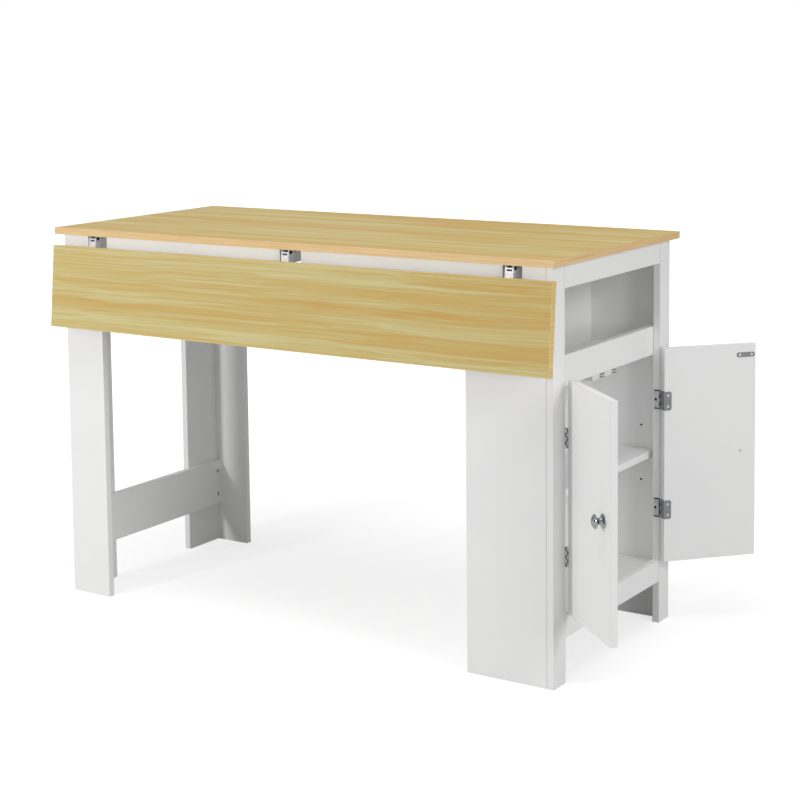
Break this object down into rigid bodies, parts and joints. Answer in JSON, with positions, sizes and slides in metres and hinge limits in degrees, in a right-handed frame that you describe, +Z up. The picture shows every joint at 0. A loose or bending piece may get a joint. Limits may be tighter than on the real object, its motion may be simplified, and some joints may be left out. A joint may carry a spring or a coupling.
{
  "type": "kitchen table",
  "caption": "Counter-height kitchen table with a hinged drop leaf along its front, board legs at its left end, and a storage cabinet with an open tray and inset doors at its right end.",
  "frame": {"origin": "on the floor, under the middle of the cabinet's inner side board, on the base's front-to-back centre line", "axes": "+X along the table towards the cabinet's doors, +Y to the back (the drop leaf hangs on the -Y side), +Z up"},
  "size_m": [1.533, 0.767, 0.9],
  "materials": {
    "straw_laminate": "satin straw-coloured wood-grain laminate on particle board",
    "edge_tape": "satin edge band, a little warmer than the laminate",
    "white_board": "smooth white-painted board",
    "chrome": "polished",
    "black_steel": "black-finished steel",
    "zinc_steel": "bright zinc-plated steel",
    "catch_plastic": "white moulded plastic",
    "ferrite": "dull dark magnet"
  },
  "bodies": {
    "table": {"tabletop": "straw_laminate", "tabletop_edge_band": "edge_tape", "front_apron": "white_board", "back_apron": "white_board", "left_end_apron": "white_board", "front_left_leg_face": "white_board", "front_left_leg_side": "white_board", "back_left_leg_face": "white_board", "back_left_leg_side": "white_board", "leg_stretcher": "white_board", "leg_stretcher_screws": "zinc_steel", "cabinet_front_panel": "white_board", "cabinet_back_panel": "white_board", "cabinet_inner_side": "white_board", "front_stile": "white_board", "back_stile": "white_board", "top_rail": "white_board", "bottom_rail": "white_board", "tray_lip": "white_board", "tray_deck": "white_board", "cabinet_floor": "white_board", "adjustable_shelf": "white_board", "shelf_pins": "zinc_steel", "catch_housings": "catch_plastic", "catch_magnets": "ferrite", "catch_pole_plates": "zinc_steel", "catch_screws": "zinc_steel", "front_stile_hinge_leaves": "black_steel", "back_stile_hinge_leaves": "black_steel", "stile_hinge_screws": "zinc_steel", "bracket_channels": "zinc_steel", "bracket_rivets": "black_steel", "bracket_guide_pins": "zinc_steel", "bracket_channel_screws": "zinc_steel"},
    "leaf": {"drop_leaf": "straw_laminate", "drop_leaf_edge_band": "edge_tape", "bracket_arms": "zinc_steel", "bracket_arm_screws": "zinc_steel"},
    "left_door": {"left_door": "white_board", "left_door_hinge_leaves": "black_steel", "left_door_hinge_pins": "black_steel", "left_door_knob": "chrome", "left_door_knob_screw": "zinc_steel", "left_door_strike_plate": "zinc_steel", "left_door_screws": "zinc_steel"},
    "right_door": {"right_door": "white_board", "right_door_hinge_leaves": "black_steel", "right_door_hinge_pins": "black_steel", "right_door_knob": "chrome", "right_door_knob_screw": "zinc_steel", "right_door_strike_plate": "zinc_steel", "right_door_screws": "zinc_steel"},
    "left_lock": {"left_lock_bar": "zinc_steel"},
    "middle_lock": {"middle_lock_bar": "zinc_steel"},
    "right_lock": {"right_lock_bar": "zinc_steel"}
  },
  "joints": [
    {"name": "leaf_fold", "type": "hinge", "parent": "table", "child": "leaf", "pos_m": [0, -0.2802, 0.8764], "axis": [-1, 0, 0], "range_deg": [0, 85]},
    {"name": "left_door_swing", "type": "hinge", "parent": "table", "child": "left_door", "pos_m": [0.203, -0.2275, 0.39], "axis": [0, 0, -1], "range_deg": [-131, 44]},
    {"name": "right_door_swing", "type": "hinge", "parent": "table", "child": "right_door", "pos_m": [0.203, 0.2275, 0.39], "axis": [0, 0, 1], "range_deg": [-138, 37]},
    {"name": "left_lock_slide", "type": "slide", "parent": "table", "child": "left_lock", "axis": [0, -1, 0], "range_m": [0, 0.03]},
    {"name": "middle_lock_slide", "type": "slide", "parent": "table", "child": "middle_lock", "axis": [0, -1, 0], "range_m": [0, 0.03]},
    {"name": "right_lock_slide", "type": "slide", "parent": "table", "child": "right_lock", "axis": [0, -1, 0], "range_m": [0, 0.03]}
  ]
}
